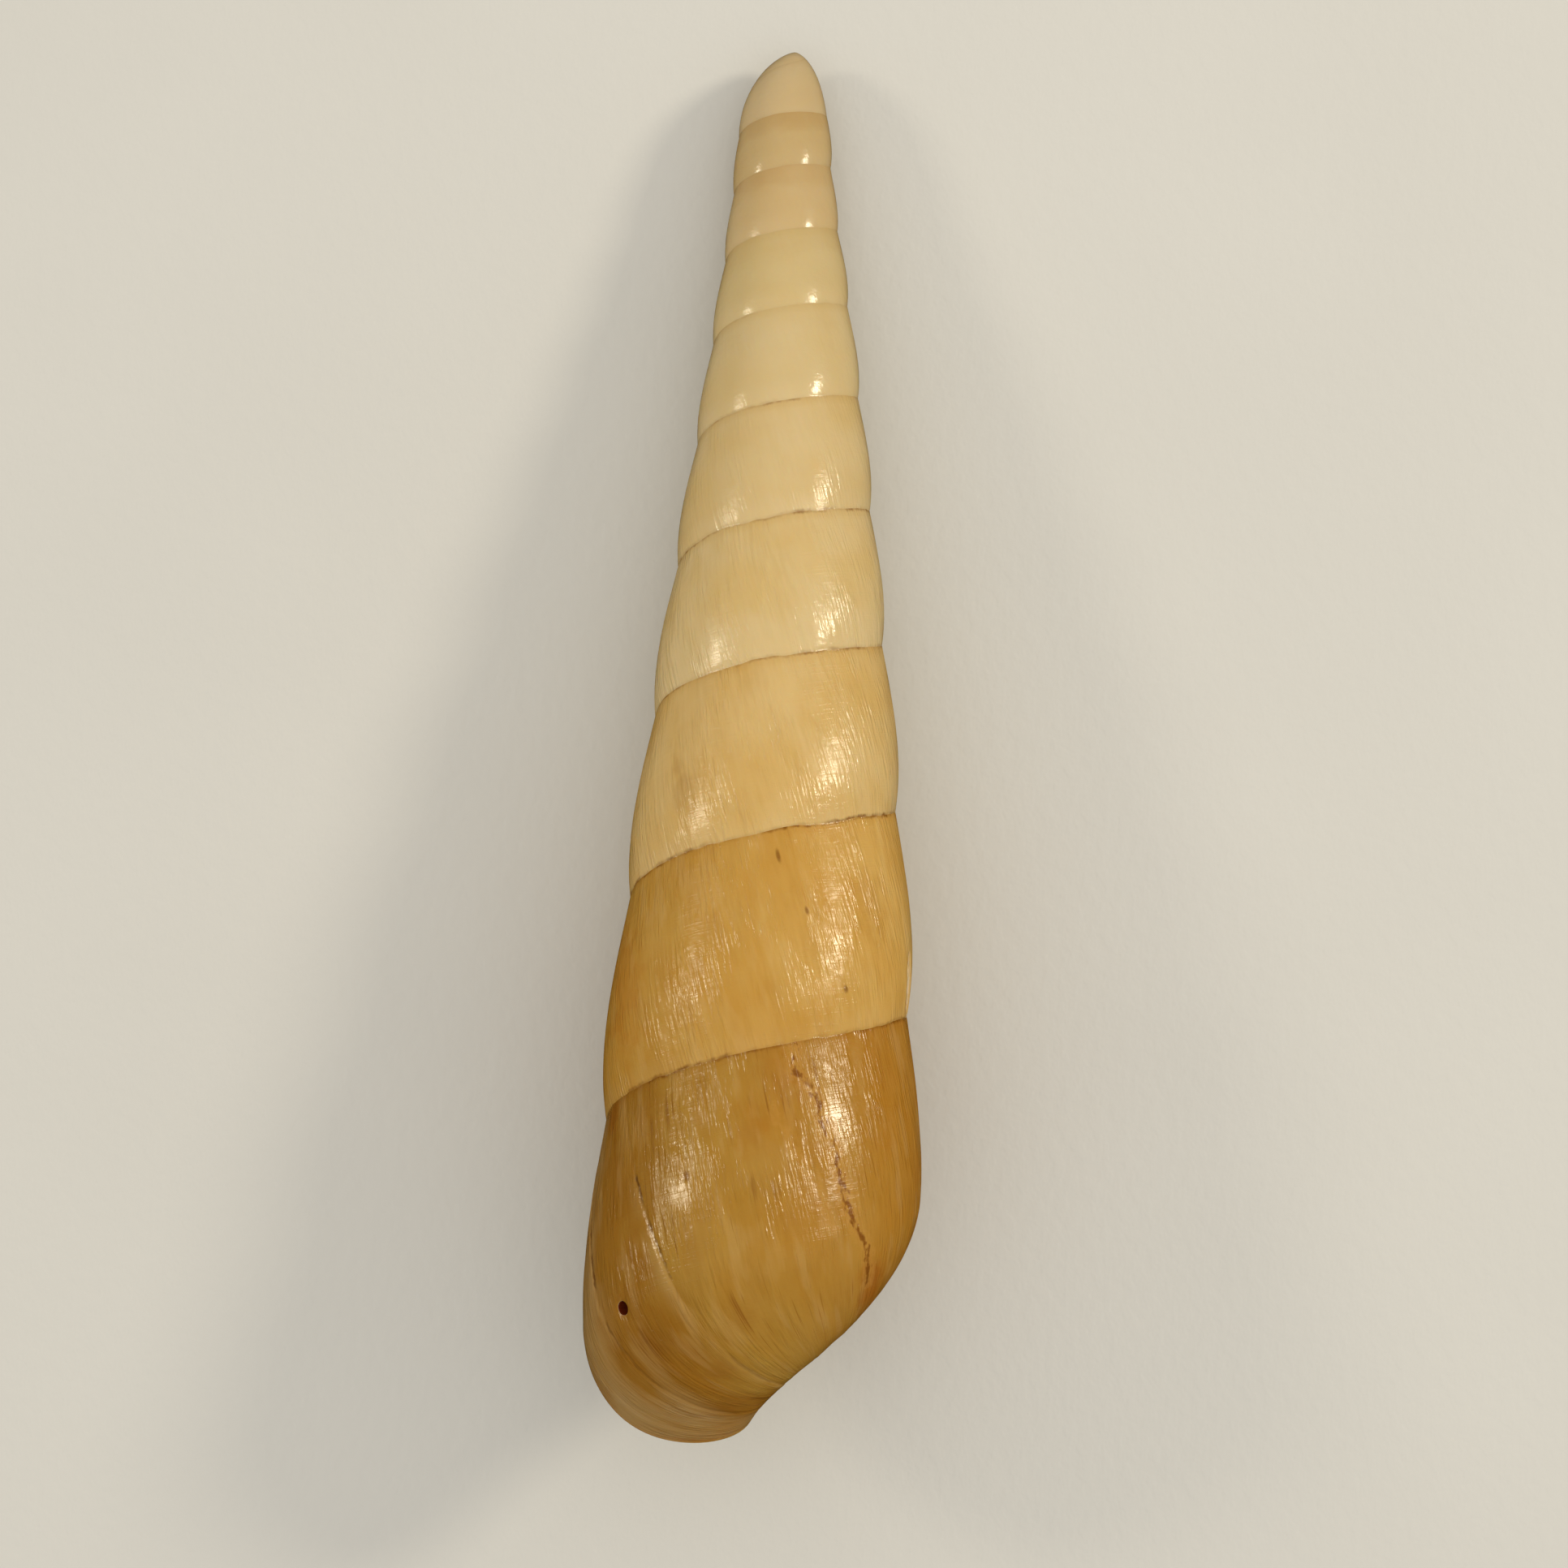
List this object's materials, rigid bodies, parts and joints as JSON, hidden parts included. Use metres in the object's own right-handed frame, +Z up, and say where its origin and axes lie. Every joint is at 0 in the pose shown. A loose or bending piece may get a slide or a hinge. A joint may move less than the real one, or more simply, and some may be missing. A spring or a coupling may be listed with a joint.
{
  "type": "tall-spired sea snail shell",
  "caption": "Tall, slender spiral snail shell with a small rounded tip, flat-sided whorls and a pear-shaped mouth, lying mouth side down.",
  "frame": {"origin": "on the surface that the shell lies on, under the middle of its bounding box", "axes": "+Z up, +Y along the shell towards the tip of its spire, +X to the right when seen from above with the tip pointing away"},
  "size_m": [0.0136, 0.0594, 0.0141],
  "materials": {
    "shell": "glossy cream to yellow-brown natural shell, smooth with fine growth lines and thin dark suture lines"
  },
  "bodies": {
    "root": {"shell": "shell"}
  },
  "joints": []
}
